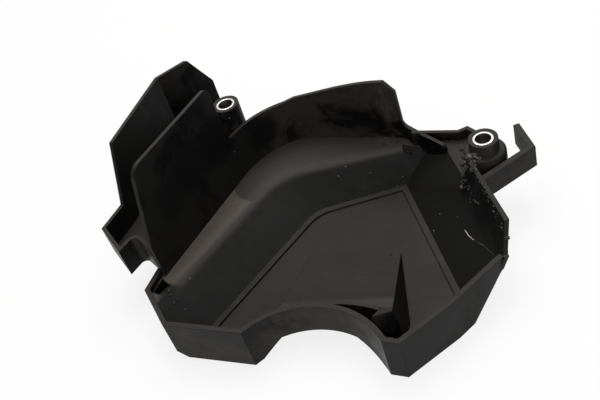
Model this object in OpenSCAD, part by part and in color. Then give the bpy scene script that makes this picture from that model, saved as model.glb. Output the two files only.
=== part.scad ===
// Front sprocket cover of a motorcycle: one plastic moulding with a steel
// compression sleeve pressed into each of its two bolt bosses.
// Units are millimetres and +Z points towards the engine, along both bolts.
// The origin is the centre of the tall boss's sleeve at its engine-side end
// face, and +X runs from the tall boss towards the bracket boss.
// In the sizes below a height is counted from the outermost face of the cover.

/* [Walls] */
// thickness of the upright walls
wall_t = 2.2; // [1.6:0.1:3]
// thickness of the tall plate, the arc wall and the channel's walls
sheet_t = 1.7; // [1.4:0.1:2.2]
// thickness of the floor, the slopes and the ledge
skin_t = 2.2; // [1.8:0.1:3]
// height of the rim round the front of the tray
low_rim = 20.4; // [18:0.2:24]
// height of the ledge along the plate and the arc wall
ledge_top = 17.5; // [16:0.1:18.4]
// height of the arc wall beside the tall boss
arc_rim = 40; // [34:0.2:41]
// height of the arc wall at its highest point
arc_crest = 49; // [44:0.2:54]
// height of the low wall that closes the tray towards the bracket
back_rim = 25; // [24:0.5:30]
// height of the steep wall beside the bracket
side_rim = 30; // [27:0.5:33]

/* [Cable channel] */
// height of the tall plate between the tray and the channel
plate_top = 70; // [62:0.5:74]
// height of the outer wall of the channel
outer_top = 60.5; // [54:0.5:64]
// height of the hooked end of the channel
hook_rim = 34.5; // [30:0.5:38]
// height of the underside of the channel floor
channel_base = 20.4; // [19:0.2:22]

/* [Panel and ramp] */
// depth of the step between the strip and the panel inside it
panel_step = 1; // [0.4:0.1:1.4]
// width of the strip round the panel
strip_w = 2.6; // [1.6:0.1:4]
// height of the ramp where it meets the arch
ramp_top = 17.6; // [14:0.1:18.6]
// height of the bottom edge of the arch wall at mid span
arch_bottom = 6.4; // [5:0.2:9]

/* [Bosses and sleeves] */
// centre distance of the two bolts
bolt_pitch = 115.2; // [114:0.1:117]
// height of the tall boss
tall_boss_top = 50; // [46:0.2:54]
// height of the bracket boss
bracket_boss_top = 36; // [34:0.2:40]
// outside diameter of both bosses
boss_od = 12.2; // [11.6:0.1:13]
// outside diameter of both sleeves
sleeve_od = 8.7; // [8.2:0.1:9]
// bore of both sleeves, the clearance hole of an M6 bolt
sleeve_id = 6.5; // [6.2:0.1:6.8]
// outside diameter of the cup round the foot of the bracket boss
cup_od = 17.6; // [17:0.1:18.4]
// height of the cup's shoulder
cup_top = 30.4; // [28:0.2:31.5]
// height of the bracket's floor
bracket_floor = 20.5; // [19.5:0.1:21.5]
// height of the rim round the bracket
bracket_rim = 28.5; // [26:0.5:30]

/* [Output] */
// sub-part that is drawn

/* [Hidden] */
eps = 0.01;
far = 120;
moulding_colour = [0.16, 0.155, 0.15];
steel_colour = [0.72, 0.72, 0.71];

// vector from an angle
function unit(a) = [cos(a), sin(a)];
// left-hand normal of the step from p to q
function left(p, q) = let (d = (q - p) / norm(q - p)) [-d[1], d[0]];
// point where the line through p along angle a meets the line through q along angle b
function meet(p, a, q, b) =
    let (u = unit(a), v = unit(b), w = q - p)
    p + u * ((w[0] * v[1] - w[1] * v[0]) / (u[0] * v[1] - u[1] * v[0]));
// corner k of a path moved to its left by d
function mitre(path, k, d) =
    let (
        last = len(path) - 1,
        a = k == 0 ? left(path[0], path[1]) : left(path[k - 1], path[k]),
        b = k == last ? left(path[last - 1], path[last]) : left(path[k], path[k + 1])
    )
    path[k] + (a + b) * d / (1 + a * b);
// path moved to its left by d
function beside(path, d) = [for (k = [0:len(path) - 1]) mitre(path, k, d)];
// closed ribbon of width w to the left of a path
function ribbon(path, w) =
    let (b = beside(path, w), n = len(b))
    concat(path, [for (k = [0:n - 1]) b[n - 1 - k]]);
// points on a circle round c from angle a0 to a1
function arc(c, r, a0, a1, n = 24) = [for (k = [0:n]) c + r * unit(a0 + (a1 - a0) * k / n)];
// centre of the circle through three points
function centre3(a, b, c) =
    let (
        m = (a + b) / 2, n = (b + c) / 2,
        u = left(a, b), v = left(b, c), w = n - m
    )
    m + u * ((w[0] * v[1] - w[1] * v[0]) / (u[0] * v[1] - u[1] * v[0]));
// angle of a point seen from c
function bearing(c, p) = atan2(p[1] - c[1], p[0] - c[0]);

// corner of a path rounded by a tangent arc of radius r
function rounded(p, q, s, r, n = 8) =
    let (
        u = (p - q) / norm(p - q), v = (s - q) / norm(s - q),
        h = acos(u * v) / 2, d = r / tan(h),
        c = q + (u + v) / norm(u + v) * r / sin(h),
        a0 = bearing(c, q + u * d), a1 = bearing(c, q + v * d),
        turn = a1 - a0 > 180 ? a1 - a0 - 360 : (a1 - a0 < -180 ? a1 - a0 + 360 : a1 - a0)
    )
    [for (k = [0:n]) c + r * unit(a0 + turn * k / n)];

// tall plate: its tray-side face runs through plate_end along plate_dir
plate_dir = 79.7;
plate_end = [-5.0, -75.3];
plate_len = 62.6;
plate_far = plate_end + plate_len * unit(plate_dir);

// arc wall: a bend round bend_c, then a straight run, then a chamfered end
bend_c = [41.3, -16.9];
bend_r = 36.8;
bend_from = 173;
bend_to = 116;
run_from = bend_c + bend_r * unit(bend_to);
run_to = [73.8, 19];
run_dir = bearing(run_from, run_to);

// low wall from the arc wall's end towards the bracket
back_to = [95.6, 7.6];
back_mid = [84.6, 12.7];
back_c = centre3(run_to, back_mid, back_to);
back_r = norm(run_to - back_c);

back_from = bearing(back_c, run_to);
back_upto = bearing(back_c, back_to);

// inner faces of the plate, the arc wall and the low back wall, as one path
tall_path = concat([plate_end], arc(bend_c, bend_r, bend_from, bend_to, 28), [run_to]);
back_step = (back_upto - back_from) / 12;
inner_path = concat(
    tall_path, arc(back_c, back_r, back_from + back_step, back_upto, 11)
);

// corners of the front rim, on its outer faces
rim_b = [-8.9, -73.9];
rim_c = [-8.9, -86.1];
rim_d = [8.4, -101.6];
rim_e = [43.0, -99.6];
rim_f = [97.4, -93.5];
rim_g = [104.2, -93.5];
rim_h = [118.6, -72.7];
rim_i = [130.2, -50.6];
rim_j = [131.8, -48];

// arch cut out of the front of the tray
arch_c = [72.3, -116];
arch_r = 33.6;
arch_from = bearing(arch_c, rim_e);
arch_to = bearing(arch_c, rim_f);
function arch_arc(g) = arc(arch_c, arch_r + g, arch_from, arch_to, 36);
function arch_back(g) = arc(arch_c, arch_r + g, arch_to, arch_from, 36);

// outer faces of the front rim and the arch, as one path
rim_path = concat([rim_b, rim_c, rim_d], arch_arc(0), [rim_g, rim_h, rim_i, rim_j]);

// floor: the panel's strip and the ledge's edge, as lines in plan
strip_level = 3;
strip_left = [18.4, -83.5];
strip_left_dir = 73.1;
strip_top = [42.5, -14.8];
strip_top_dir = 29.1;
strip_right = [78.9, -0.7];
strip_right_dir = -55.9;
strip_corner = meet(strip_left, strip_left_dir, strip_top, strip_top_dir);
strip_apex = meet(strip_top, strip_top_dir, strip_right, strip_right_dir);
edge_left = [2.6, -71.9];
edge_left_dir = 74.7;
edge_top = [30.6, -6.4];
edge_top_dir = 21.4;
edge_corner = meet(edge_left, edge_left_dir, edge_top, edge_top_dir);
// rise of the slope below the bracket, per millimetre
side_rise = 0.9;

// ramp in the panel
fold_left = [45.9, -44.1];
fold_right = [85, -35.3];
ramp_left_end = [51.2, -81.6];
ramp_foot = [85.3, -37];
ramp_foot_end = [98.8, -71.3];
// foot of the ramp's end face, where the ramp stops short of the front corner
ramp_end = [97.9, -83.7];
ramp_end_dir = 39.4;
// rise of the ramp's steep side and end, per millimetre
ramp_side_rise = 3.8;
// sides of the recess that continues the ramp's hollow along the arch
recess_path = [[42, -98.5], [42, -81.5], [50.4, -75.8], [57, -75.8]];
// lip round the ramp's end, beside the slot in front of it
lip_c = arch_c + [10.5, -14.6];
lip_r = 52.4;
lip_t = 1.4;
lip_h = 1.2;
lip_from = 112;
lip_to = 80.5;
slot_floor = 9;
fold_out = unit(bearing(fold_left, fold_right) - 90);
ramp_run = (arch_c + [0, arch_r + wall_t] - fold_left) * fold_out;
ramp_rise = (ramp_top - strip_level + panel_step) / ramp_run;

// right-hand steep wall, measured along and across the strip's right side
along = unit(strip_right_dir);
across = unit(strip_right_dir + 90);
function side(a, c) = strip_right + a * along + c * across;

// channel: hooked end and outer wall, on their outer faces
hook_a = [-7.2, -74.8];
hook_b = [-17.2, -69.2];
hook_c = [-19.4, -79];
hook_d = [-35.5, -67.4];
hook_e = [-34.2, -52.5];
outer_a = [-33.9, -41];
outer_b = [-36.3, 4.8];
outer_c = [-27.4, 17.9];
outer_d = [-22, 25.8];
outer_d_top = 42;
channel_path = concat(
    [outer_d, outer_b, hook_e, hook_d, hook_c], rounded(hook_c, hook_b, hook_a, 2.6), [hook_a]
);

// bracket
bolt2 = [bolt_pitch, 0];
arm_path = [[118.4, -16.5], [134.6, 4.9], [125.4, 19]];
arm_t = 2.6;
flange_path = [[114, 7], [108.8, 16.4], [102.8, 20.2], [99.2, 17.2], [79, 15.6]];
flange_t = 1.8;

// height shift from the outermost face to the origin
module seated() {
    translate([0, 0, -tall_boss_top]) children();
}

// slab of a plan shape between two heights
module slab(z0, z1) {
    translate([0, 0, z0]) linear_extrude(z1 - z0) children();
}

// space above a plane that climbs away from the line through p along angle a,
// on that line's left, by rise per millimetre from height z
module above(p, a, z, rise) {
    translate([p[0], p[1], z]) rotate([0, 0, a]) rotate([atan(rise), 0, 0])
        translate([-2 * far, -2 * far, 0]) cube([4 * far, 4 * far, 2 * far]);
}

// line from p to q in n steps, without its first point
function steps(p, q, n) = [for (k = [1:n]) p + (q - p) * k / n];
// outline of the hollow: along the line through p, round a corner of radius r,
// then along the line through q, both lines moved outwards by g
function outline(p, a, q, b, r, before, after, g) =
    let (
        u = p + g * unit(a + 90), v = q + g * unit(b + 90),
        start = u - before * unit(a), end = v + after * unit(b),
        turn = rounded(start, meet(u, a, v, b), end, r, 16)
    )
    concat([start], steps(start, turn[0], 12),
           [for (k = [1:16]) turn[k]], steps(turn[16], end, 14));
// outline at the strip, and outline at the ledge
function panel_line(g) =
    outline(strip_left, strip_left_dir, strip_top, strip_top_dir, 16, 50, 88, g);
function edge_line(g) =
    outline(edge_left, edge_left_dir, edge_top, edge_top_dir, 24, 62, 95, g);
// far corners that close both outlines in front of the cover
front_corners = [[150, -130], [60, -130]];

// plan of the floor's lower part, grown by g
module panel_plan(g) {
    polygon(concat(panel_line(g), front_corners));
}

// hollow that is wider at the ledge than at the strip, with ruled sides; g is the
// skin's thickness under it, or 0 for the hollow itself
module dish(g) {
    foot = g > 0 ? 0 : strip_level;
    low = concat(panel_line(g * 0.1), front_corners);
    high = concat(edge_line(g * 0.4), front_corners);
    n = len(low);
    polyhedron(
        points = concat(
            [for (p = low) [p[0], p[1], foot]],
            [for (p = high) [p[0], p[1], ledge_top - g]],
            [for (p = high) [p[0], p[1], far]]
        ),
        faces = concat(
            [[for (k = [0:n - 1]) n - 1 - k], [for (k = [0:n - 1]) 2 * n + k]],
            [for (k = [0:n - 1]) [k, (k + 1) % n, n + (k + 1) % n]],
            [for (k = [0:n - 1]) [k, n + (k + 1) % n, n + k]],
            [for (k = [0:n - 1]) [n + k, n + (k + 1) % n, 2 * n + (k + 1) % n, 2 * n + k]]
        )
    );
}

// space above the floor's top, or above its underside for a skin of g
module over_floor(g) {
    intersection() {
        union() {
            dish(g);
            slab(ledge_top - g, 2 * far) square(4 * far, center = true);
        }
        union() {
            above(strip_right, strip_right_dir, g > 0 ? 0 : strip_level, side_rise);
            slab(bracket_floor - g, 2 * far) square(4 * far, center = true);
        }
        slab(0, 2 * far) square(4 * far, center = true);
    }
}

// plan of everything that the tray's floor covers, its edges inside the walls
module tray_plan() {
    mid = wall_t / 2;
    tall_mid = beside(tall_path, sheet_t / 2);
    last = len(tall_mid) - 1;
    polygon(concat(
        beside(rim_path, mid),
        [side(66, 16.7), side(26, 16.7)],
        [mitre(arm_path, 0, mid) + [1.2, 1.6], mitre(arm_path, 1, mid), [124, 5], [114, 8]],
        beside(flange_path, flange_t / 2),
        [for (k = [0:last]) tall_mid[last - k]]
    ));
}

// front rim and arch as one wall, trimmed to the floor's underside
module front_wall() {
    intersection() {
        slab(0, low_rim) polygon(ribbon(rim_path, wall_t));
        over_floor(skin_t);
    }
}

// space under the raised bottom edge of the arch wall
module under_arch() {
    intersection() {
        translate([0, arch_c[1] + arch_r + 8, 0]) rotate([90, 0, 0]) linear_extrude(40)
            polygon([[44.2, -1], [52, arch_bottom], [82, arch_bottom], [95.4, -1]]);
        slab(-2, far) arch_plan(wall_t * 1.8);
    }
}

// body under the ramp's top: moved in by g at its sides and lowered by g
module ramp_body(g) {
    base = strip_level - panel_step;
    foot = unit(bearing(ramp_foot, ramp_foot_end) + 90);
    difference() {
        slab(g > 0 ? -1 : 0, low_rim) polygon([
            fold_left + [g, 0], fold_right - [g, 0], ramp_foot - g * foot,
            ramp_foot_end - g * foot, ramp_foot_end - g * foot + [0, -20],
            ramp_left_end + [g, -20], ramp_left_end + [g, 0]
        ]);
        above(fold_left, bearing(fold_right, fold_left), base - g * 1.07, ramp_rise);
        above(ramp_foot - g * foot, bearing(ramp_foot_end, ramp_foot), base, ramp_side_rise);
        above(ramp_end + g * unit(ramp_end_dir + 90), ramp_end_dir, base, ramp_side_rise);
    }
}

// low body beside the ramp along the arch: moved in by g at its sides and top
module recess_body(g) {
    slab(g > 0 ? -1 : 0, arch_bottom + skin_t - g)
        polygon(concat(beside(recess_path, -g), [[57, -100]]));
}

// plan of the arch with its wall up to g behind the wall's front face
module arch_plan(g) {
    polygon(concat(arch_arc(g), [[rim_f[0] + 1, rim_f[1] - 40], [rim_e[0] - 1, rim_e[1] - 40]]));
}

// plan of the slot between the ramp's lip and the arch wall, grown by g
module slot_plan(g) {
    difference() {
        polygon(concat(
            arc(lip_c, lip_r + g, lip_to - 1.2 * g, lip_from, 16),
            [arch_c + [-4, arch_r], arch_c + [16 + g, arch_r - 12]]
        ));
        arch_plan(wall_t / 2);
    }
}

// raised ramp, its slot beside the arch wall and the lip along the slot
module ramp() {
    difference() {
        union() {
            ramp_body(0);
            recess_body(0);
        }
        slab(-2, far) arch_plan(wall_t / 2);
        slab(slot_floor, far) difference() {
            slot_plan(0);
            arch_plan(wall_t);
        }
    }
    slab(slot_floor, ramp_top + lip_h) difference() {
        polygon(concat(
            arc(lip_c, lip_r, lip_to, lip_from, 16),
            arc(lip_c, lip_r + lip_t, lip_from, lip_to, 16)
        ));
        arch_plan(wall_t / 2);
    }
}

// steep wall beside the bracket, leaning outwards
module side_wall() {
    foot = strip_level + side_rise * 15.6;
    intersection() {
        slab(0, far) polygon([
            side(24, 8), side(69.6, 8), side(69.6, 20), side(66, 23), side(24, 32)
        ]);
        difference() {
            above(side(0, 15.6 + sheet_t * 1.1), strip_right_dir, foot, 2.1);
            above(side(0, 15.6), strip_right_dir, foot, 2.1);
        }
        over_floor(skin_t);
        // rim falls towards the front corner
        translate([side(0, 0)[0], side(0, 0)[1], 0]) rotate([90, 0, strip_right_dir])
            translate([0, 0, -60]) linear_extrude(80)
                polygon([[0, 0], [90, 0], [90, low_rim], [68.5, low_rim], [67, 22], [64, 26],
                         [61, side_rim], [0, side_rim]]);
    }
}

// rim of the tall plate, as an outline along y
module plate_rim() {
    run = sin(plate_dir);
    y0 = plate_end[1];
    y1 = plate_far[1];
    polygon(concat(
        [[y0 - 4, 0], [y0 - 4, hook_rim], [y0, hook_rim], [y0 + 1.2 * run, hook_rim + 4]],
        rounded([y0 + 4.6 * run, 50.6], [y0 + 9.4 * run, plate_top], [y0 + 40, plate_top], 6),
        rounded([y0 + 40, plate_top], [y1, plate_top], [y1, 40], 3.2),
        rounded([y1, plate_top], [y1, arc_rim], [y1 + 12, arc_rim], 3.2),
        [[y1 + 12, 0]]
    ));
}

// rim of the arc wall and the low back wall, as an outline along x
module arc_rim_line() {
    x0 = run_from[0] - 5;
    x1 = run_to[0];
    climb = arc_crest - arc_rim;
    polygon(concat(
        [[-10, 0], [-10, arc_rim]],
        [for (k = [0:16]) let (s = k / 16, ease = 3 * s * s - 2 * s * s * s)
            [x0 + s * (x1 - 5 - x0), arc_rim + climb * (0.3 * ease + 0.7 * sin(90 * s))]],
        [[x1 - 0.4, arc_crest - 5.6]],
        rounded([x1 - 0.4, arc_crest - 5.6], [x1 + 0.2, back_rim],
                [x1 + 16, back_rim - 0.4], 2),
        [[x1 + 16, back_rim - 0.4]],
        rounded([x1 + 16, back_rim - 0.4], [back_to[0] + 0.6, back_rim - 1.4],
                [back_to[0] + 0.6, 0], 2.4),
        [[back_to[0] + 0.6, 0]]
    ));
}

// plate, arc wall and low back wall as one wall under their rims
module inner_wall() {
    intersection() {
        slab(ledge_top - skin_t, plate_top + 1) polygon(ribbon(inner_path, sheet_t));
        union() {
            translate([-30, 0, 0]) rotate([90, 0, 90]) linear_extrude(38) plate_rim();
            translate([0, far, 0]) rotate([90, 0, 0]) linear_extrude(far + 60) arc_rim_line();
        }
        over_floor(skin_t);
    }
}

// channel: a floor inside its walls, and the hooked end and outer wall as one
// wall under a rim that climbs from the hook
module channel() {
    mid = sheet_t / 2;
    slab(channel_base, channel_base + skin_t) polygon(concat(
        beside(channel_path, mid), [mitre(inner_path, 0, mid), mitre(inner_path, 1, mid)],
        [[4, 8], [-6, 15]]
    ));
    intersection() {
        slab(channel_base, outer_top + 1) polygon(ribbon(channel_path, sheet_t));
        translate([-60, 0, 0]) rotate([90, 0, 90]) linear_extrude(80) polygon([
            [-far, 0], [-far, hook_rim], [hook_e[1], hook_rim], [outer_a[1], outer_top],
            [outer_c[1], outer_top], [outer_d[1], outer_d_top], [far, outer_d_top], [far, 0]
        ]);
    }
}

// pocket in the corner between the ledge's end and the front rim
module corner_pocket(g) {
    slab(9 - g, 19) polygon([
        [-6.2, -76.8] + [-g, g], [-6.6, -84.6] + [-g, -g / 2],
        [-3.4, -85.2] + [0, -g], [-1, -79.6] + [g, 0]
    ]);
}

// bracket: arm and wing on one side of the second boss, flange on the other
module bracket() {
    slab(bracket_floor - skin_t, bracket_rim) polygon(ribbon(arm_path, arm_t));
    slab(bracket_floor - skin_t, back_rim) polygon(ribbon(flange_path, flange_t));
}

// boss at p: a round post between two heights, with a bore for its sleeve
module boss_post(p, z0, z1) {
    translate([p[0], p[1], z0]) cylinder(h = z1 - z0, d = boss_od, $fn = 96);
}

// cup of the bracket boss with its rounded shoulder
module cup() {
    r = cup_od / 2;
    round_r = 1.6;
    translate([bolt2[0], bolt2[1], 0]) rotate_extrude($fn = 96) polygon(concat(
        [[0, bracket_floor - skin_t], [r, bracket_floor - skin_t]],
        [for (k = [0:6]) [r - round_r, cup_top - round_r] + round_r * unit(15 * k)],
        [[0, cup_top]]
    ));
}

// whole moulding
module cover() {
    color(moulding_colour) seated() difference() {
        union() {
            difference() {
                intersection() {
                    slab(0, far) tray_plan();
                    over_floor(skin_t);
                }
                over_floor(0);
                panel_cut();
            }
            front_wall();
            ramp();
            side_wall();
            inner_wall();
            channel();
            intersection() {
                corner_pocket(1.8);
                slab(0, ledge_top) tray_plan();
            }
            bracket();
            boss_post([0, 0], channel_base, tall_boss_top);
            boss_post(bolt2, bracket_floor, bracket_boss_top);
            cup();
        }
        corner_pocket(0);
        ramp_hollow();
        under_arch();
        // sleeve seats and the bolt-head pocket of the bracket boss
        translate([0, 0, channel_base - 1])
            cylinder(h = far, d = sleeve_od, $fn = 96);
        translate([bolt2[0], bolt2[1], bracket_floor - skin_t - 1])
            cylinder(h = far, d = sleeve_od, $fn = 96);
        translate([bolt2[0], bolt2[1], bracket_floor - skin_t - 1])
            cylinder(h = cup_top - bracket_floor - 1, d = cup_od - 2 * wall_t, $fn = 96);
    }
}

// sunk panel inside the strip
module panel_cut() {
    slab(strip_level - panel_step, strip_level + eps) intersection() {
        panel_plan(-strip_w);
        polygon([
            [-20, -140], strip_corner + [-30, 0], strip_apex + [-30, 30],
            strip_apex - strip_w * across, strip_apex - strip_w * across + 140 * along
        ]);
    }
}

// hollow under the ramp, clear of the slot's floor and of the walls round it
module ramp_hollow() {
    difference() {
        union() {
            ramp_body(skin_t);
            recess_body(skin_t);
        }
        slab(-2, far) {
            arch_plan(wall_t);
            polygon(ribbon(rim_path, wall_t * 1.6));
        }
        slab(slot_floor - skin_t, far) slot_plan(skin_t);
    }
}

// steel compression sleeve: a plain tube
module sleeve(h) {
    difference() {
        cylinder(h = h, d = sleeve_od, $fn = 96);
        translate([0, 0, -1]) cylinder(h = h + 2, d = sleeve_id, $fn = 96);
    }
}

// sleeve of the tall boss, flush at both ends
module tall_boss_sleeve() {
    color(steel_colour) seated() translate([0, 0, channel_base])
        sleeve(tall_boss_top - channel_base);
}

// sleeve of the bracket boss, from the bolt-head pocket to the boss's end
module bracket_boss_sleeve() {
    foot = cup_top - skin_t - 1;
    color(steel_colour) seated() translate([bolt2[0], bolt2[1], foot])
        sleeve(bracket_boss_top - foot);
}

cover();
tall_boss_sleeve();
bracket_boss_sleeve();
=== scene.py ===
"""Looks of a moulded front sprocket cover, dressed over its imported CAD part."""

import logging
import math
import random
from dataclasses import dataclass
from enum import Enum

import bmesh
import bpy
from mathutils import Matrix, Vector, noise
from mathutils.bvhtree import BVHTree


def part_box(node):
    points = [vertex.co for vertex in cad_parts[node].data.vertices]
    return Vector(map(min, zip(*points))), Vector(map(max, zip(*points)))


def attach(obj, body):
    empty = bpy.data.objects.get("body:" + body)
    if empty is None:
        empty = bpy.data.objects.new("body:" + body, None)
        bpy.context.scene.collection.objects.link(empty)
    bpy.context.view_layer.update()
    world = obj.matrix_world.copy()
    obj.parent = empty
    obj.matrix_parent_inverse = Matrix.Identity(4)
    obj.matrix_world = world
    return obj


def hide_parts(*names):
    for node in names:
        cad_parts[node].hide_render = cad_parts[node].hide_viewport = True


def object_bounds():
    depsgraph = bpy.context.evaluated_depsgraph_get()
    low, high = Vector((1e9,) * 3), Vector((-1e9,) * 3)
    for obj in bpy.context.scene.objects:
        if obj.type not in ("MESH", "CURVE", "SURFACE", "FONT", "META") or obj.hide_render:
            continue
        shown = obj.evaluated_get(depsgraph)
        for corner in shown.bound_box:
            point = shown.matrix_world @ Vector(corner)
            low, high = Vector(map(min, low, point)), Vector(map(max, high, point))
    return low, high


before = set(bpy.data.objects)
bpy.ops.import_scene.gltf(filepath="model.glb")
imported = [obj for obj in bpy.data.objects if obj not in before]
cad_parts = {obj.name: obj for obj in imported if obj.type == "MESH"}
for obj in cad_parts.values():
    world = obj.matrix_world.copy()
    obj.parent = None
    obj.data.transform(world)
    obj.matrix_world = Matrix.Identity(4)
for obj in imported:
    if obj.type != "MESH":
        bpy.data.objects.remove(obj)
CAD_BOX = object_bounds()

LOG = logging.getLogger("sprocket_cover")
MIDDLE = (0.05, -0.04, -0.02)
PHOTO_WIDTH = 600
PHOTO_HEIGHT = 400
Colour = tuple[float, float, float, float]


def mm(value: float) -> float:
    """Turns millimetres to metres.

    Args:
        value: a length in millimetres.

    Returns:
        The length in metres.
    """
    return value / 1000.0


def per_mm(size: float) -> float:
    """Finds the texture scale whose features have a given width.

    Args:
        size: width of a feature in millimetres.

    Returns:
        The texture's scale.
    """
    return 1000.0 / size


def span(values: tuple[float, ...]) -> tuple[float, ...]:
    """Turns several lengths in millimetres to metres.

    Args:
        values: lengths in millimetres.

    Returns:
        The lengths in metres, in the same order.
    """
    return tuple(mm(value) for value in values)


def linear(code: str) -> Colour:
    """Turns an sRGB hex colour to linear.

    Args:
        code: six hex digits, with or without a leading hash.

    Returns:
        Linear red, green, blue and an alpha of 1.
    """
    digits = code.lstrip("#")
    parts = [int(digits[i:i + 2], 16) / 255.0 for i in (0, 2, 4)]
    turned = [p / 12.92 if p <= 0.04045 else ((p + 0.055) / 1.055) ** 2.4 for p in parts]
    return (turned[0], turned[1], turned[2], 1.0)


def add_node(tree: bpy.types.NodeTree, kind: str, settings: dict | None = None,
             links: dict | None = None) -> bpy.types.Node:
    """Adds one node with its settings and incoming links.

    Args:
        tree: node tree that takes the node.
        kind: the node's type name.
        settings: a property by its name, or an input by its index or name.
        links: the output that feeds each input, by the input's index or name.

    Returns:
        The new node.
    """
    node = tree.nodes.new(kind)
    for key, value in (settings or {}).items():
        if isinstance(key, str) and hasattr(node, key):
            setattr(node, key, value)
        else:
            node.inputs[key].default_value = value
    for key, output in (links or {}).items():
        tree.links.new(output, node.inputs[key])
    return node


def remap(tree: bpy.types.NodeTree, value: bpy.types.NodeSocket, old: tuple[float, float],
          new: tuple[float, float] = (0.0, 1.0), smooth: bool = False) -> bpy.types.NodeSocket:
    """Maps one range of a value to another and holds it at both ends.

    Args:
        tree: node tree that takes the node.
        value: the value to map.
        old: the two values that are mapped.
        new: what they become.
        smooth: whether the value eases in and out.

    Returns:
        The mapped value.
    """
    return add_node(tree, "ShaderNodeMapRange", {
        "interpolation_type": "SMOOTHSTEP" if smooth else "LINEAR",
        "From Min": old[0], "From Max": old[1], "To Min": new[0], "To Max": new[1]},
        {"Value": value}).outputs[0]


def combine(tree: bpy.types.NodeTree, operation: str, *values: bpy.types.NodeSocket
            ) -> bpy.types.NodeSocket:
    """Joins two or more values by one operation, from left to right.

    Args:
        tree: node tree that takes the nodes.
        operation: the math node's operation, such as MULTIPLY or MAXIMUM.
        *values: the values to join.

    Returns:
        The joined value.
    """
    total = values[0]
    for value in values[1:]:
        total = add_node(tree, "ShaderNodeMath", {"operation": operation},
                         {0: total, 1: value}).outputs[0]
    return total


def new_material(name: str) -> tuple[bpy.types.Material, bpy.types.NodeTree]:
    """Makes an empty node material.

    Args:
        name: the material's name.

    Returns:
        The material and its empty tree.
    """
    material = bpy.data.materials.new(name)
    material.use_nodes = True
    material.node_tree.nodes.clear()
    return material, material.node_tree


def seen_white(tree: bpy.types.NodeTree) -> bpy.types.NodeSocket:
    """Tells the rays that show the white ground from those that only light the cover.

    Args:
        tree: node tree that takes the nodes.

    Returns:
        1 for a camera, glossy or transmission ray, and 0 for any other.
    """
    path = add_node(tree, "ShaderNodeLightPath")
    bent = add_node(tree, "ShaderNodeMath", {"operation": "ADD"}, {
        0: path.outputs["Is Glossy Ray"], 1: path.outputs["Is Transmission Ray"]}).outputs[0]
    return add_node(tree, "ShaderNodeMath", {"operation": "ADD", "use_clamp": True}, {
        0: path.outputs["Is Camera Ray"], 1: bent}).outputs[0]


class Slot(Enum):
    """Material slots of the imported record."""

    PLASTIC = "moulded_plastic"
    STEEL = "sleeve_steel"


def put_piece(name: str, shape: bmesh.types.BMesh, finish: bpy.types.Material,
              node: str | None = None) -> bpy.types.Object:
    """Turns a finished shape to a piece that rides on the cover.

    Args:
        name: the piece's name.
        shape: the shape in metres, which is freed.
        finish: the piece's material.
        node: CAD node that the piece stands for, or None.

    Returns:
        The piece.
    """
    mesh = bpy.data.meshes.new(name)
    shape.to_mesh(mesh)
    shape.free()
    mesh.materials.append(finish)
    piece = bpy.data.objects.new(name, mesh)
    bpy.context.scene.collection.objects.link(piece)
    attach(piece, "root")
    if node is not None:
        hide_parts(node)
    return piece


@dataclass(frozen=True)
class Dab:
    """A soiled spot on the moulding: its centre and reach in millimetres, and its strength."""

    centre: tuple[float, float, float]
    reach: float
    strength: float


GREASE_DABS = (
    Dab((0.6, -39.1, -1.6), 20.0, 0.9), Dab((2.9, -24.6, -5.8), 14.0, 1.0),
    Dab((4.1, -17.0, -8.0), 12.0, 1.0), Dab((-1.7, -54.2, -4.8), 15.0, 0.7),
    Dab((12.0, 4.0, -20.0), 12.0, 0.9), Dab((110.0, -14.0, -26.0), 9.0, 0.9),
    Dab((120.0, -28.0, -24.0), 14.0, 0.7), Dab((-1.0, -84.0, -33.5), 6.0, 0.9),
)
DUST_DABS = (
    Dab((69.9, 18.8, -5.2), 6.5, 0.6), Dab((68.4, 18.7, -14.0), 6.5, 0.7),
    Dab((67.4, 18.6, -23.0), 6.5, 0.8), Dab((65.6, 18.5, -31.5), 7.5, 1.0),
)


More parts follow.
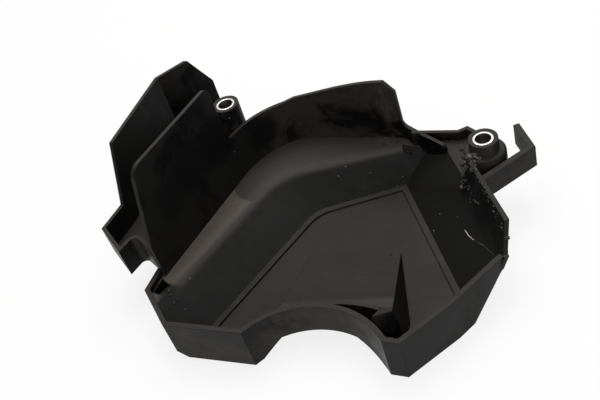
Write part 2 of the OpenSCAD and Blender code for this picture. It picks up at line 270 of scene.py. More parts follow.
@dataclass(frozen=True)
class PolypropyleneDustAndPaintedLight:
    """Black polypropylene from a spark-eroded mould: matt, with a coat of road dust.

    What faces up holds the dust and reads grey, partly as painted top light; the ledge adds a
    painted highlight over its dust, and walls that face forward are painted paler as a painted
    reflection of the white table. Other walls stay near black with smears of chain grease,
    which is darker and a little glossier.
    """

    body: str = "#131211"
    # Tone of the dust, and of the painted top light, painted front reflection and painted ledge
    # highlight.
    dust_and_painted_light: str = "#3a3735"
    # Tone of the thick dust and its painted highlight beside the plate, and of the streaks.
    cake_and_highlight: str = "#565049"
    grease: str = "#0b0a0a"
    shine: float = 0.13
    grain_mm: float = 0.6
    mottle_mm: float = 16.0
    streak_mm: float = 5.0
    edge_mm: float = 0.5
    pit_mm: float = 0.12
    wave_mm: float = 0.5
    drip_mm: float = 1.6
    smear_mm: float = 28.0
    rim_mm: float = 9.0
    ragged_mm: float = 12.0
    core: float = 0.35
    ledge_under_mm: tuple[float, float] = (-31.6, -32.2)
    ledge_foot_mm: tuple[float, float] = (-36.0, -33.2)
    # Where the thick dust and its painted highlight lie on the ledge beside the plate.
    bright_patch_foot_mm: tuple[float, float] = (-35.6, -33.4)
    bright_patch_across: tuple[float, float, float] = (0.966, -0.266, 0.0)
    bright_patch_width_mm: tuple[float, float] = (22.6, 20.2)
    bright_patch_end_mm: tuple[float, float, float] = (13.2, -16.6, -33.0)
    bright_patch_round_mm: tuple[float, float] = (10.5, 11.1)
    bright_patch_back_mm: tuple[float, float] = (-16.0, -20.0)

    def build(self) -> bpy.types.Material:
        """Builds the material.

        Returns:
            The finished material.
        """
        material, tree = new_material("black_polypropylene_moulded")
        place = add_node(tree, "ShaderNodeTexCoord").outputs["Object"]
        normal = add_node(tree, "ShaderNodeNewGeometry").outputs["Normal"]
        turned = add_node(tree, "ShaderNodeSeparateXYZ", links={0: normal})
        facing = turned.outputs["Z"]
        mottle = add_node(tree, "ShaderNodeTexNoise", {
            "Scale": per_mm(self.mottle_mm), "Detail": 5.0, "Roughness": 0.6},
            {"Vector": place}).outputs["Fac"]
        fine = add_node(tree, "ShaderNodeTexNoise", {
            "Scale": per_mm(self.streak_mm), "Detail": 6.0, "Roughness": 0.7},
            {"Vector": place}).outputs["Fac"]
        # Dust on what faces up, which also serves as painted top light.
        dust_and_painted_light = self._dust_and_top_light(tree, facing, mottle, fine)
        # Painted front light: walls that face forward are painted paler, a painted reflection of
        # the white table.
        painted_front_light = self._paint_front_light(tree, turned, mottle)
        # Dust on the ledge, with a painted highlight on its rounded shoulder.
        ledge = self._ledge_dust_and_highlight(tree, place, facing, fine)
        # Dust and painted light together.
        dust_and_light_share = combine(tree, "MAXIMUM", dust_and_painted_light, painted_front_light, ledge)
        dust_and_light_base = add_node(tree, "ShaderNodeMix", {
            "data_type": "RGBA", 6: linear(self.body), 7: linear(self.dust_and_painted_light)}, {0: dust_and_light_share})
        # Thick dust with a painted highlight on the ledge beside the plate, and dust streaks.
        cake_and_highlight_share = self._cake_and_highlight(tree, place, facing, fine)
        dust_and_light_colour = add_node(tree, "ShaderNodeMix", {
            "data_type": "RGBA", 7: linear(self.cake_and_highlight)}, {0: cake_and_highlight_share, 6: dust_and_light_base.outputs[2]})
        smear = self._smear(tree, place, facing)
        greased = add_node(tree, "ShaderNodeMix", {
            "data_type": "RGBA", 7: linear(self.grease)}, {0: smear, 6: dust_and_light_colour.outputs[2]})
        specked = self._specks(tree, place, greased.outputs[2])
        rough = remap(tree, fine, (0.3, 0.7), (0.5, 0.66))
        wet = add_node(tree, "ShaderNodeMix", {3: 0.4}, {0: smear, 2: rough}).outputs[0]
        bump = self._grain(tree, place, fine)
        shader = add_node(tree, "ShaderNodeBsdfPrincipled", {
            "IOR": 1.49, "Specular IOR Level": self.shine},
            {"Base Color": specked, "Roughness": wet, "Normal": bump})
        add_node(tree, "ShaderNodeOutputMaterial", links={0: shader.outputs[0]})
        return material

    def _dust_and_top_light(self, tree: bpy.types.NodeTree, facing: bpy.types.NodeSocket,
              mottle: bpy.types.NodeSocket, fine: bpy.types.NodeSocket) -> bpy.types.NodeSocket:
        """Lays the dust on what faces up, which also serves as painted top light.

        Args:
            tree: the material's node tree.
            facing: the upward part of the normal, from -1 to 1.
            mottle: broad noise.
            fine: fine noise.

        Returns:
            How much dust and painted top light lie on the surface, from 0 to 1.
        """
        lying = remap(tree, facing, (0.8, 0.985), (0.0, 0.6), smooth=True)
        patchy = remap(tree, mottle, (0.3, 0.7), (0.72, 1.12))
        spread = remap(tree, fine, (0.3, 0.7), (0.86, 1.1))
        both = combine(tree, "MULTIPLY", patchy, spread)
        return add_node(tree, "ShaderNodeMath", {"operation": "MULTIPLY", "use_clamp": True},
                        {0: lying, 1: both}).outputs[0]

    def _paint_front_light(self, tree: bpy.types.NodeTree, turned: bpy.types.Node,
               mottle: bpy.types.NodeSocket) -> bpy.types.NodeSocket:
        """Paints the walls that face forward paler: painted light, a painted reflection of the
        white table in front.

        Args:
            tree: the material's node tree.
            turned: node that gives the normal's three parts.
            mottle: broad noise.

        Returns:
            How far each point is painted pale by this painted reflection, from 0 to 1.
        """
        forward = remap(tree, turned.outputs["Y"], (-0.4, -0.8), smooth=True)
        tilt = add_node(tree, "ShaderNodeMath", {"operation": "ABSOLUTE"},
                        {0: turned.outputs["Z"]}).outputs[0]
        upright = remap(tree, tilt, (0.42, 0.2), smooth=True)
        patchy = remap(tree, mottle, (0.3, 0.7), (0.42, 0.66))
        return combine(tree, "MULTIPLY", forward, upright, patchy)

    def _ledge_dust_and_highlight(self, tree: bpy.types.NodeTree, place: bpy.types.NodeSocket,
               facing: bpy.types.NodeSocket, fine: bpy.types.NodeSocket) -> bpy.types.NodeSocket:
        """Lays the ledge's dust, with a painted highlight on its rounded shoulder.

        Args:
            tree: the material's node tree.
            place: the point in Object coordinates.
            facing: the upward part of the normal, from -1 to 1.
            fine: fine noise.

        Returns:
            The thicker dust and painted highlight that lie on the ledge under the walls, from 0 to
            1.
        """
        height = add_node(tree, "ShaderNodeSeparateXYZ", links={0: place}).outputs["Z"]
        level = remap(tree, height, span(self.ledge_foot_mm), smooth=True)
        under = remap(tree, height, span(self.ledge_under_mm))
        lying = remap(tree, facing, (0.72, 0.96), smooth=True)
        spread = remap(tree, fine, (0.3, 0.7), (1.0, 1.5))
        return combine(tree, "MULTIPLY", level, under, lying, spread)

    def _cake_and_highlight(self, tree: bpy.types.NodeTree, place: bpy.types.NodeSocket,
              facing: bpy.types.NodeSocket, fine: bpy.types.NodeSocket) -> bpy.types.NodeSocket:
        """Lays the thick dust beside the plate, with a painted highlight on it, and the streaks.

        Args:
            tree: the material's node tree.
            place: the point in Object coordinates.
            facing: the upward part of the normal, from -1 to 1.
            fine: fine noise.

        Returns:
            The thick dust and painted highlight on the ledge beside the plate, and the dust in
            streaks, from 0 to 1.
        """
        across = add_node(tree, "ShaderNodeVectorMath", {
            "operation": "DOT_PRODUCT", 1: self.bright_patch_across}, {0: place}).outputs["Value"]
        beside = remap(tree, across, span(self.bright_patch_width_mm), smooth=True)
        away = add_node(tree, "ShaderNodeVectorMath", {
            "operation": "DISTANCE", 1: span(self.bright_patch_end_mm)},
            {0: place}).outputs["Value"]
        outside = remap(tree, away, span(self.bright_patch_round_mm))
        axes = add_node(tree, "ShaderNodeSeparateXYZ", links={0: place})
        along = remap(tree, axes.outputs["Y"], span(self.bright_patch_back_mm))
        over = remap(tree, axes.outputs["Z"], span(self.bright_patch_foot_mm), smooth=True)
        under = remap(tree, axes.outputs["Z"], span(self.ledge_under_mm))
        lying = remap(tree, facing, (0.5, 0.8))
        patchy = remap(tree, fine, (0.3, 0.7), (0.8, 1.15))
        total = combine(tree, "MULTIPLY", beside, outside, along, over, under, lying, patchy)
        return add_node(tree, "ShaderNodeMath", {"operation": "MAXIMUM", "use_clamp": True}, {
            0: total, 1: self._streaks(tree, place)}).outputs[0]

    def _streaks(self, tree: bpy.types.NodeTree, place: bpy.types.NodeSocket
                 ) -> bpy.types.NodeSocket:
        """Draws the streaks.

        Args:
            tree: the material's node tree.
            place: the point in Object coordinates.

        Returns:
            The streaks of dust that run down the end of the arc wall, from 0 to 1.
        """
        drawn = add_node(tree, "ShaderNodeVectorMath", {
            "operation": "MULTIPLY", 1: (1.0, 1.0, 0.12)}, {0: place}).outputs["Vector"]
        lines = add_node(tree, "ShaderNodeTexNoise", {
            "Scale": per_mm(self.drip_mm), "Detail": 4.0, "Roughness": 0.6},
            {"Vector": drawn}).outputs["Fac"]
        thin = remap(tree, lines, (0.4, 0.7), (0.05, 0.6))
        spots = self._dabs(tree, place, DUST_DABS)
        return combine(tree, "MULTIPLY", thin, spots)

    def _dabs(self, tree: bpy.types.NodeTree, place: bpy.types.NodeSocket,
              dabs: tuple[Dab, ...]) -> bpy.types.NodeSocket:
        """Draws soiled spots.

        Args:
            tree: the material's node tree.
            place: the point in Object coordinates.
            dabs: the spots.

        Returns:
            The strongest of the spots at each point, with ragged rims.
        """
        ragged = add_node(tree, "ShaderNodeTexNoise", {
            "Scale": per_mm(self.rim_mm), "Detail": 6.0, "Roughness": 0.7},
            {"Vector": place}).outputs["Color"]
        push = add_node(tree, "ShaderNodeVectorMath", {
            "operation": "MULTIPLY_ADD", 1: (mm(self.ragged_mm),) * 3,
            2: (mm(-self.ragged_mm / 2),) * 3},
            {0: ragged}).outputs["Vector"]
        moved = add_node(tree, "ShaderNodeVectorMath", {"operation": "ADD"},
                         {0: place, 1: push}).outputs["Vector"]
        here = []
        for dab in dabs:
            away = add_node(tree, "ShaderNodeVectorMath", {
                "operation": "DISTANCE", 1: span(dab.centre)},
                {0: moved}).outputs["Value"]
            here.append(remap(tree, away, (mm(dab.reach), mm(dab.reach * self.core)),
                              (0.0, dab.strength), smooth=True))
        return combine(tree, "MAXIMUM", *here)

    def _smear(self, tree: bpy.types.NodeTree, place: bpy.types.NodeSocket,
               facing: bpy.types.NodeSocket) -> bpy.types.NodeSocket:
        """Smears the grease.

        Args:
            tree: the material's node tree.
            place: the point in Object coordinates.
            facing: the upward part of the normal, from -1 to 1.

        Returns:
            The grease on the upright walls and in the soiled spots, from 0 to 1.
        """
        patch = add_node(tree, "ShaderNodeTexNoise", {
            "Scale": per_mm(self.smear_mm), "Detail": 7.0, "Roughness": 0.66, "Distortion": 0.5},
            {"Vector": place}).outputs["Fac"]
        shape = remap(tree, patch, (0.47, 0.6), smooth=True)
        upright = remap(tree, facing, (0.55, 0.2), (0.0, 1.0))
        thrown = add_node(tree, "ShaderNodeMath", {"operation": "MULTIPLY", "use_clamp": True},
                          {0: shape, 1: upright}).outputs[0]
        return combine(tree, "MAXIMUM", thrown, self._dabs(tree, place, GREASE_DABS))

    def _specks(self, tree: bpy.types.NodeTree, place: bpy.types.NodeSocket,
                colour: bpy.types.NodeSocket) -> bpy.types.NodeSocket:
        """Strews the specks.

        Args:
            tree: the material's node tree.
            place: the point in Object coordinates.
            colour: the colour under the specks.

        Returns:
            The colour with sparse dark and pale specks of grit on it.
        """
        for size, tint, limit in ((7.0, self.grease, 0.055), (9.5, "#8d8980", 0.034)):
            cells = add_node(tree, "ShaderNodeTexVoronoi", {
                "Scale": per_mm(size), "Randomness": 1.0}, {"Vector": place}).outputs["Distance"]
            dot = remap(tree, cells, (limit, limit * 0.6), (0.0, 0.8))
            colour = add_node(tree, "ShaderNodeMix", {
                "data_type": "RGBA", 7: linear(tint)}, {0: dot, 6: colour}).outputs[2]
        return colour

    def _grain(self, tree: bpy.types.NodeTree, place: bpy.types.NodeSocket,
               fine: bpy.types.NodeSocket) -> bpy.types.NodeSocket:
        """Presses the mould's grain.

        Args:
            tree: the material's node tree.
            place: the point in Object coordinates.
            fine: fine noise.

        Returns:
            The normal with rounded edges and the mould's grain, coarser than the real
            one so that it shows.
        """
        grain = add_node(tree, "ShaderNodeTexNoise", {
            "Scale": per_mm(self.grain_mm), "Detail": 2.0, "Roughness": 0.6},
            {"Vector": place}).outputs["Fac"]
        rounded = add_node(tree, "ShaderNodeBevel", {
            "samples": 6, "Radius": mm(self.edge_mm)}).outputs[0]
        pits = add_node(tree, "ShaderNodeBump", {
            "Strength": 0.35, "Distance": mm(self.pit_mm)},
            {"Height": grain, "Normal": rounded}).outputs[0]
        return add_node(tree, "ShaderNodeBump", {
            "Strength": 0.2, "Distance": mm(self.wave_mm)},
            {"Height": fine, "Normal": pits}).outputs[0]


@dataclass(frozen=True)
class ZincPlatedSteel:
    """Drawn steel tube, zinc plated: its ends rubbed bright, its bore dark with grease."""

    plate: str = "#c9c8c3"
    dull: str = "#8f8d86"
    soiled: str = "#6c6a64"
    mark_mm: float = 0.5
    cloud_mm: float = 2.4
    scratch_mm: float = 0.03

    def build(self) -> bpy.types.Material:
        """Builds the material.

        Returns:
            The finished material.
        """
        material, tree = new_material("steel_zinc_plated")
        place = add_node(tree, "ShaderNodeTexCoord").outputs["Object"]
        cloud = add_node(tree, "ShaderNodeTexNoise", {
            "Scale": per_mm(self.cloud_mm), "Detail": 6.0, "Roughness": 0.65},
            {"Vector": place}).outputs["Fac"]
        tint = remap(tree, cloud, (0.42, 0.72))
        face = add_node(tree, "ShaderNodeMix", {
            "data_type": "RGBA", 6: linear(self.plate), 7: linear(self.dull)},
            {0: tint}).outputs[2]
        normal = add_node(tree, "ShaderNodeNewGeometry").outputs["Normal"]
        facing = add_node(tree, "ShaderNodeSeparateXYZ", links={0: normal}).outputs["Z"]
        level = add_node(tree, "ShaderNodeMath", {"operation": "ABSOLUTE"}, {0: facing}).outputs[0]
        wall = remap(tree, level, (0.6, 0.25))
        colour = add_node(tree, "ShaderNodeMix", {
            "data_type": "RGBA", 7: linear(self.soiled)}, {0: wall, 6: face}).outputs[2]
        rough = remap(tree, cloud, (0.3, 0.7), (0.3, 0.5))
        marks = add_node(tree, "ShaderNodeTexNoise", {
            "Scale": per_mm(self.mark_mm), "Detail": 3.0}, {"Vector": place}).outputs["Fac"]
        bump = add_node(tree, "ShaderNodeBump", {
            "Strength": 0.2, "Distance": mm(self.scratch_mm)}, {"Height": marks}).outputs[0]
        shader = add_node(tree, "ShaderNodeBsdfPrincipled", {"Metallic": 1.0},
                          {"Base Color": colour, "Roughness": rough, "Normal": bump})
        add_node(tree, "ShaderNodeOutputMaterial", links={0: shader.outputs[0]})
        return material


@dataclass(frozen=True)
class DriedGrit:
    """Chain grease with road grit dried into it: crumbly, matt and unevenly pale."""

    name: str = "chain_grease_dried"
    dark: str = "#2b2925"
    pale: str = "#8d8a80"
    share: float = 0.5
    crumb_mm: float = 0.9

    def build(self) -> bpy.types.Material:
        """Builds the material.

        Returns:
            The finished material.
        """
        material, tree = new_material(self.name)
        place = add_node(tree, "ShaderNodeTexCoord").outputs["Object"]
        crumbs = add_node(tree, "ShaderNodeTexNoise", {
            "Scale": per_mm(self.crumb_mm), "Detail": 5.0, "Roughness": 0.7},
            {"Vector": place}).outputs["Fac"]
        mix = remap(tree, crumbs, (0.9 - self.share * 0.8, 1.0 - self.share * 0.7))
        colour = add_node(tree, "ShaderNodeMix", {
            "data_type": "RGBA", 6: linear(self.dark), 7: linear(self.pale)}, {0: mix}).outputs[2]
        bump = add_node(tree, "ShaderNodeBump", {
            "Strength": 0.8, "Distance": mm(0.3)}, {"Height": crumbs}).outputs[0]
        shader = add_node(tree, "ShaderNodeBsdfPrincipled", {"Roughness": 0.82},
                          {"Base Color": colour, "Normal": bump})
        add_node(tree, "ShaderNodeOutputMaterial", links={0: shader.outputs[0]})
        return material


@dataclass(frozen=True)
class WhiteTable:
    """White laminate table top: the photograph's ground, burnt out to white."""

    colour: str = "#f2f2f0"
    lifted: float = 0.82

    def build(self) -> bpy.types.Material:
        """Builds the material.

        Returns:
            The finished material.
        """
        material, tree = new_material("laminate_white")
        grain = add_node(tree, "ShaderNodeTexNoise", {"Scale": per_mm(40.0)}).outputs["Fac"]
        rough = remap(tree, grain, (0.0, 1.0), (0.6, 0.75))
        plain = add_node(tree, "ShaderNodeBsdfPrincipled", {"Base Color": linear(self.colour)},
                         {"Roughness": rough}).outputs[0]
        glow = add_node(tree, "ShaderNodeEmission", {"Strength": 1.0}).outputs[0]
        share = add_node(tree, "ShaderNodeMath", {"operation": "MULTIPLY", 1: self.lifted},
                         {0: seen_white(tree)}).outputs[0]
        mixed = add_node(tree, "ShaderNodeMixShader", links={0: share, 1: plain, 2: glow})
        add_node(tree, "ShaderNodeOutputMaterial", links={0: mixed.outputs[0]})
        return material


@dataclass
class Studio:
    """Camera of the photograph, white table and soft lamps."""

    lens_mm: float = 51.0
    sensor_mm: float = 36.0
    eye: tuple[float, float, float] = (0.19664, -0.256942, 0.211247)
    right: tuple[float, float, float] = (0.901603, 0.351029, -0.252767)
    up: tuple[float, float, float] = (-0.072279, 0.698384, 0.712064)
    back: tuple[float, float, float] = (0.426484, -0.623729, 0.655037)
    table_mm: float = 4000.0

    def camera(self) -> bpy.types.Object:
        """Makes the camera and makes it the scene's.

        Returns:
            The camera object.
        """
        data = bpy.data.cameras.new("photo_camera")
        data.lens = self.lens_mm
        data.sensor_width = self.sensor_mm
        data.clip_start = 0.01
        data.clip_end = 20.0
        camera = bpy.data.objects.new("photo_camera", data)
        turn = Matrix((self.right, self.up, self.back)).transposed()
        camera.matrix_world = Matrix.Translation(self.eye) @ turn.to_4x4()
        bpy.context.scene.collection.objects.link(camera)
        bpy.context.scene.camera = camera
        bpy.context.scene.view_settings.view_transform = "Standard"
        return camera

    def sight(self, across: float, down: float) -> Vector:
        """Finds the direction from the eye through a point of the 600 by 400 frame.

        Args:
            across: pixels from the left.
            down: pixels from the top.

        Returns:
            The direction, one metre long.
        """
        focal = self.lens_mm / self.sensor_mm * PHOTO_WIDTH
        x = (across - PHOTO_WIDTH / 2) / focal
        y = (PHOTO_HEIGHT / 2 - down) / focal
        ray = Vector(self.right) * x + Vector(self.up) * y - Vector(self.back)
        return ray.normalized()

    def table(self, height: float) -> bpy.types.Object:
        """Lays the table top under the cover.

        Args:
            height: height of the table top in metres.

        Returns:
            The table top.
        """
        mesh = bpy.data.meshes.new("table_top")
        shape = bmesh.new()
        bmesh.ops.create_grid(shape, x_segments=1, y_segments=1, size=mm(self.table_mm) / 2)
        bmesh.ops.translate(shape, verts=shape.verts, vec=(MIDDLE[0], MIDDLE[1], height))
        shape.to_mesh(mesh)
        shape.free()
        mesh.materials.append(WhiteTable().build())
        table = bpy.data.objects.new("table_top", mesh)
        bpy.context.scene.collection.objects.link(table)
        return table

    def lamp(self, name: str, place: tuple[float, float, float], size: float,
             power: float) -> bpy.types.Object:
        """Hangs one square soft box that looks at the cover.

        Args:
            name: name of the lamp.
            place: its centre in metres.
            size: side of the soft box in metres.
            power: watts.

        Returns:
            The lamp object.
        """
        data = bpy.data.lights.new(name, "AREA")
        data.shape = "SQUARE"
        data.size = size
        data.energy = power
        lamp = bpy.data.objects.new(name, data)
        aim = Vector(place) - Vector(MIDDLE)
        turn = aim.to_track_quat("Z", "Y").to_matrix().to_4x4()
        lamp.matrix_world = Matrix.Translation(place) @ turn
        bpy.context.scene.collection.objects.link(lamp)
        return lamp

    def sky(self, strength: float) -> bpy.types.World:
        """Surrounds the scene with white, plain for the eye and dim for the cover.

        Args:
            strength: strength of the world for diffuse light.

        Returns:
            The world.
        """
        world = bpy.data.worlds.new("white_room")
        world.use_nodes = True
        tree = world.node_tree
        tree.nodes.clear()
        dim = add_node(tree, "ShaderNodeBackground", {"Strength": strength}).outputs[0]
        plain = add_node(tree, "ShaderNodeBackground", {
            "Color": (1.0, 1.0, 1.0, 1.0), "Strength": 1.0}).outputs[0]
        dim.node.inputs[0].default_value = (1.0, 1.0, 1.0, 1.0)
        mixed = add_node(tree, "ShaderNodeMixShader", links={
            0: seen_white(tree), 1: dim, 2: plain})
        add_node(tree, "ShaderNodeOutputWorld", links={0: mixed.outputs[0]})
        bpy.context.scene.world = world
        return world

    def build(self) -> None:
        """Sets up the camera, the table, the lamps and the world."""
        self.camera()
        self.table(CAD_BOX[0].z)
        self.lamp("overhead_box", (0.0, 0.25, 0.75), 0.7, 6.5)
        self.lamp("front_fill", (0.5, -0.6, 0.25), 0.5, 1.6)
        self.sky(0.3)


@dataclass
class Moulding:
    """The cover's moulding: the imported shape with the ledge's round shoulder."""

    ledge_mm: float = -32.5
    shoulder_mm: float = 4.2
    sharp_deg: float = 27.0
    shoulder_right_mm: float = 75.5
    shoulder_front_mm: float = -77.3
    join_m: float = 2e-6
    flat_deg: float = 0.15

    def shape(self) -> bmesh.types.BMesh:
        """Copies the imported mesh, joins its loose triangles and rounds the ledge's shoulder.

        Returns:
            The rounded shape in metres.
        """
        shape = bmesh.new()
        shape.from_mesh(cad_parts["cover"].data)
        bmesh.ops.remove_doubles(shape, verts=shape.verts, dist=self.join_m)
        bmesh.ops.dissolve_limit(shape, angle_limit=math.radians(self.flat_deg),
                                 use_dissolve_boundaries=False, verts=shape.verts,
                                 edges=shape.edges, delimit=set())
        loose = [edge for edge in shape.edges if not edge.link_faces]
        bmesh.ops.delete(shape, geom=loose, context="EDGES")
        self.round_off(shape, self.shoulder_edges(shape), self.shoulder_mm, 6)
        return shape

    def shoulder_edges(self, shape: bmesh.types.BMesh) -> list[bmesh.types.BMEdge]:
        """Finds the edges between the ledge and the slopes under it.

        The ledge narrows at its right and front ends, where there is no room for the
        round shoulder.

        Args:
            shape: the cover's shape.

        Returns:
            The edges.
        """
        level = mm(self.ledge_mm)
        found = []
        for edge in shape.edges:
            if len(edge.link_faces) != 2 or not edge.is_convex:
                continue
            if any(abs(v.co.z - level) > 2e-5 for v in edge.verts):
                continue
            if not all(v.co.x < mm(self.shoulder_right_mm) and v.co.y > mm(self.shoulder_front_mm)
                       for v in edge.verts):
                continue
            rises = sorted(face.normal.z for face in edge.link_faces)
            if rises[1] > 0.999 and 0.2 < rises[0] < 0.97:
                found.append(edge)
        return found

    def round_off(self, shape: bmesh.types.BMesh, edges: list[bmesh.types.BMEdge],
                  width: float, steps: int) -> None:
        """Rounds edges.

        Args:
            shape: shape that holds the edges.
            edges: the edges.
            width: width of the rounding on each face in millimetres.
            steps: number of faces across the rounding.
        """
        bmesh.ops.bevel(shape, geom=edges, offset=mm(width), offset_type="OFFSET",
                        segments=steps, profile=0.5, affect="EDGES", material=-1,
                        clamp_overlap=False)

    def build(self, finish: bpy.types.Material) -> tuple[bpy.types.Object, BVHTree]:
        """Makes the moulding's piece.

        Args:
            finish: its material.

        Returns:
            The piece, and a tree that finds points on its surface.
        """
        shape = self.shape()
        for face in shape.faces:
            face.smooth = True
        limit = math.radians(self.sharp_deg)
        for edge in shape.edges:
            edge.smooth = edge.is_manifold and edge.calc_face_angle(0.0) < limit
        tree = BVHTree.FromBMesh(shape)
        return put_piece("cover_moulding", shape, finish, "cover"), tree


@dataclass
class PressedSleeve:
    """Steel compression sleeve in a boss, with both mouths chamfered."""

    node: str
    chamfer_mm: float = 0.35
    bore_mm: float = 6.5
    steps: int = 96

    def build(self, finish: bpy.types.Material) -> bpy.types.Object:
        """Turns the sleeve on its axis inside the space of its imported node.

        Args:
            finish: its material.

        Returns:
            The sleeve's piece.
        """
        low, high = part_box(self.node)
        axis = (low + high) / 2
        outer = (high.x - low.x) / 2
        inner = mm(self.bore_mm) / 2
        shape = bmesh.new()
        corners = [shape.verts.new((axis.x + r, axis.y, z)) for r, z in (
            (inner, low.z), (outer, low.z), (outer, high.z), (inner, high.z))]
        ring = [shape.edges.new((corners[k], corners[(k + 1) % 4])) for k in range(4)]
        bmesh.ops.bevel(shape, geom=corners, offset=mm(self.chamfer_mm), offset_type="OFFSET",
                        segments=2, profile=0.5, affect="VERTICES", material=-1)
        bmesh.ops.spin(shape, geom=list(shape.verts) + list(shape.edges), cent=axis,
                       axis=(0.0, 0.0, 1.0), angle=math.tau, steps=self.steps, use_merge=True)
        bmesh.ops.remove_doubles(shape, verts=shape.verts, dist=1e-6)
        bmesh.ops.recalc_face_normals(shape, faces=shape.faces)
        for face in shape.faces:
            face.smooth = True
        for edge in shape.edges:
            edge.smooth = edge.calc_face_angle(0.0) < math.radians(30.0)
        return put_piece(self.node + "_turned", shape, finish, self.node)


@dataclass(frozen=True)
class Lump:
    """One lump of grit: the pixel that shows it, and its size in millimetres."""

    across: float
    down: float
    size: float


def scatter(seed: int, start: tuple[float, float], end: tuple[float, float], spread: float,
            count: int, sizes: tuple[float, float]) -> tuple[Lump, ...]:
    """Strews lumps along a line of the photograph.

    Args:
        seed: seed of the random numbers.
        start: first pixel of the line.
        end: last pixel of the line.
        spread: how far the lumps stray from the line, in pixels.
        count: number of lumps.
        sizes: smallest and largest lump in millimetres.

    Returns:
        The lumps.
    """
    dice = random.Random(seed)
    lumps = []
    for _ in range(count):
        way = dice.random()
        lumps.append(Lump(start[0] + (end[0] - start[0]) * way + dice.gauss(0.0, spread),
                          start[1] + (end[1] - start[1]) * way + dice.gauss(0.0, spread),
                          sizes[0] + (sizes[1] - sizes[0]) * dice.random() ** 2))
    return tuple(lumps)


@dataclass
class GritPatch:
    """Lumps of dried grit, stuck to the moulding where the photograph shows them."""

    name: str
    lumps: tuple[Lump, ...]
    flat: float = 0.62
    rough: float = 0.42

    def crumb(self, shape: bmesh.types.BMesh, place: Vector, normal: Vector, size: float,
              number: int) -> None:
        """Adds one lump, flattened on the surface and sunk into it by a fifth of its size.

        Args:
            shape: shape that takes the lump.
            place: point of the surface.
            normal: the surface's normal there.
            size: the lump's width in millimetres.
            number: the lump's number, which sets its form.
        """
        made = bmesh.ops.create_icosphere(shape, subdivisions=3, radius=mm(size) / 2)["verts"]
        start = Vector((number * 3.7, number * 1.3, 0.4))
        for vert in made:
            way = vert.co.normalized()
            vert.co *= 1.0 + self.rough * noise.noise(way * 1.9 + start)
            vert.co *= 1.0 + self.rough * 0.5 * noise.noise(way * 5.3 + start)
        turn = normal.to_track_quat("Z", "Y").to_matrix().to_4x4()
        raised = Matrix.Translation(place + normal * mm(size) * 0.1)
        bmesh.ops.transform(shape, verts=made,
                            matrix=raised @ turn @ Matrix.Diagonal((1.0, 0.85, self.flat, 1.0)))

    def build(self, studio: Studio, surface: BVHTree, finish: DriedGrit) -> bpy.types.Object:
        """Makes the patch's piece.

        Args:
            studio: gives the eye and the line of sight through a pixel.
            surface: finds points on the moulding.
            finish: the grit's material.

        Returns:
            The piece.
        """
        shape = bmesh.new()
        for number, lump in enumerate(self.lumps):
            way = studio.sight(lump.across, lump.down)
            place, normal, _, _ = surface.ray_cast(Vector(studio.eye), way)
            if place is not None:
                self.crumb(shape, place, normal, lump.size, number)
        for face in shape.faces:
            face.smooth = True
        return put_piece(self.name, shape, finish.build())


@dataclass
class Bristle:
    """A loose bristle that lies on the moulding along a line of the photograph."""

    name: str
    path: tuple[tuple[float, float], ...]
    width_mm: float = 0.42
    steps: int = 7
    sides: int = 10

    def points(self, studio: Studio, surface: BVHTree) -> list[Vector]:
        """Finds the points that the bristle's middle runs through.

        Args:
            studio: gives the eye and the line of sight through a pixel.
            surface: finds points on the moulding.

        Returns:
            The points, from the first pixel to the last.
        """
        found = []
        for (x0, y0), (x1, y1) in zip(self.path, self.path[1:]):
            for step in range(self.steps):
                part = step / self.steps
                way = studio.sight(x0 + (x1 - x0) * part, y0 + (y1 - y0) * part)
                place, normal, _, _ = surface.ray_cast(Vector(studio.eye), way)
                if place is not None:
                    found.append(place + normal * mm(self.width_mm) * 0.3)
        return found

    def build(self, studio: Studio, surface: BVHTree, finish: DriedGrit) -> bpy.types.Object:
        """Draws a ring along the path, thinner towards both ends, and closes it.

        Args:
            studio: gives the eye and the line of sight through a pixel.
            surface: finds points on the moulding.
            finish: the bristle's material.

        Returns:
            The piece.
        """
        points = self.points(studio, surface)
        places = []
        for number, point in enumerate(points):
            ahead = points[min(number + 1, len(points) - 1)] - points[max(number - 1, 0)]
            turn = ahead.to_track_quat("Z", "Y").to_matrix().to_4x4()
            thin = 1.0 - 0.6 * abs(2.0 * number / (len(points) - 1) - 1.0) ** 3
            places.append(Matrix.Translation(point) @ turn @ Matrix.Scale(thin, 4))
        shape = bmesh.new()
        made = bmesh.ops.create_circle(shape, cap_ends=False, segments=self.sides,
                                       radius=mm(self.width_mm) / 2)["verts"]
        bmesh.ops.transform(shape, verts=made, matrix=places[0])
        ring = list(shape.edges)
        for last, place in zip(places, places[1:]):
            grown = bmesh.ops.extrude_edge_only(shape, edges=ring)["geom"]
            verts = [item for item in grown if isinstance(item, bmesh.types.BMVert)]
            ring = [item for item in grown if isinstance(item, bmesh.types.BMEdge)]
            bmesh.ops.transform(shape, verts=verts, matrix=place @ last.inverted())
        bmesh.ops.holes_fill(shape, edges=shape.edges, sides=0)
        bmesh.ops.recalc_face_normals(shape, faces=shape.faces)
        for face in shape.faces:
            face.smooth = True
        return put_piece(self.name, shape, finish.build())


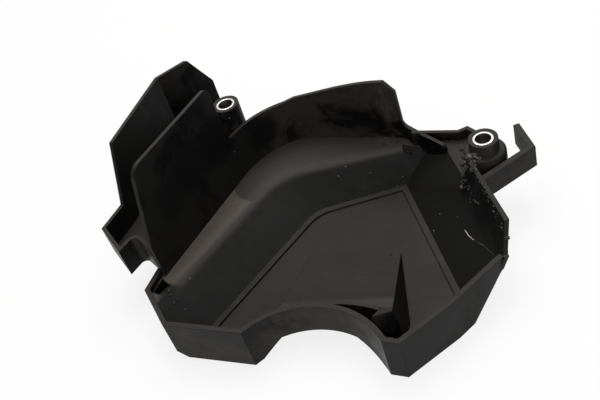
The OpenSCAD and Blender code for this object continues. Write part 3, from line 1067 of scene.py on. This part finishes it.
DARK_LUMPS = (
    Lump(464.0, 157.0, 2.6), Lump(463.0, 165.0, 2.4), Lump(467.0, 168.0, 2.6),
    Lump(472.0, 170.0, 2.2), Lump(461.0, 150.0, 1.8), Lump(507.0, 238.0, 2.0),
    Lump(509.0, 240.0, 1.4), Lump(391.0, 255.0, 1.0), Lump(394.0, 257.0, 0.7),
    Lump(398.0, 187.0, 1.6), Lump(169.0, 291.0, 1.6), Lump(174.0, 303.0, 1.4),
    Lump(170.0, 295.0, 1.2), Lump(177.0, 299.0, 0.8),
) + scatter(11, (463.0, 176.0), (476.0, 204.0), 1.6, 22, (0.7, 1.7)) \
  + scatter(12, (474.0, 168.0), (503.0, 231.0), 1.0, 24, (0.5, 1.1)) \
  + scatter(13, (383.0, 143.0), (398.0, 147.0), 1.8, 10, (0.5, 1.0))
PALE_LUMPS = (
    Lump(470.0, 157.0, 3.0), Lump(475.0, 155.0, 2.6), Lump(479.0, 158.0, 2.2),
    Lump(466.0, 162.0, 2.0), Lump(462.0, 187.0, 2.0), Lump(229.0, 118.0, 0.9),
    Lump(190.0, 279.0, 1.1), Lump(434.0, 231.0, 0.9), Lump(185.0, 309.0, 0.8),
    Lump(289.0, 252.0, 0.8), Lump(482.0, 245.0, 0.9),
) + scatter(21, (464.0, 158.0), (478.0, 166.0), 2.2, 12, (0.6, 1.3)) \
  + scatter(22, (476.0, 172.0), (503.0, 230.0), 1.0, 12, (0.4, 0.8))


def main() -> None:
    """Builds the studio and every piece of the cover, and reports each."""
    logging.basicConfig(level=logging.INFO, format="%(message)s")
    studio = Studio()
    studio.build()
    plastic = PolypropyleneDustAndPaintedLight().build()
    steel = ZincPlatedSteel().build()
    piece, surface = Moulding().build(plastic)
    LOG.info("%s: %d faces", piece.name, len(piece.data.polygons))
    dark = DriedGrit("chain_grease_dried", "#141312", "#4b4843", 0.4)
    pale = DriedGrit("road_grit_dried", "#33302c", "#86827a", 0.5)
    soiling = (GritPatch("grit_dark", DARK_LUMPS).build(studio, surface, dark),
               GritPatch("grit_pale", PALE_LUMPS).build(studio, surface, pale),
               Bristle("bristle_pale", ((465.0, 230.0), (469.0, 236.0), (475.0, 241.0))).build(
                   studio, surface, DriedGrit("nylon_bristle", "#8f8c84", "#c9c6bd", 0.6)),
               Bristle("bristle_dark", ((475.0, 241.0), (483.0, 245.0), (497.0, 258.0))).build(
                   studio, surface, DriedGrit("nylon_bristle_oiled", "#1a1917", "#4d4a45", 0.35)))
    for dirt in soiling:
        LOG.info("%s: %d faces", dirt.name, len(dirt.data.polygons))
    for node in ("tall_boss_sleeve", "bracket_boss_sleeve"):
        sleeve = PressedSleeve(node).build(steel)
        LOG.info("%s: %d faces", sleeve.name, len(sleeve.data.polygons))


if __name__ == "__main__":
    main()
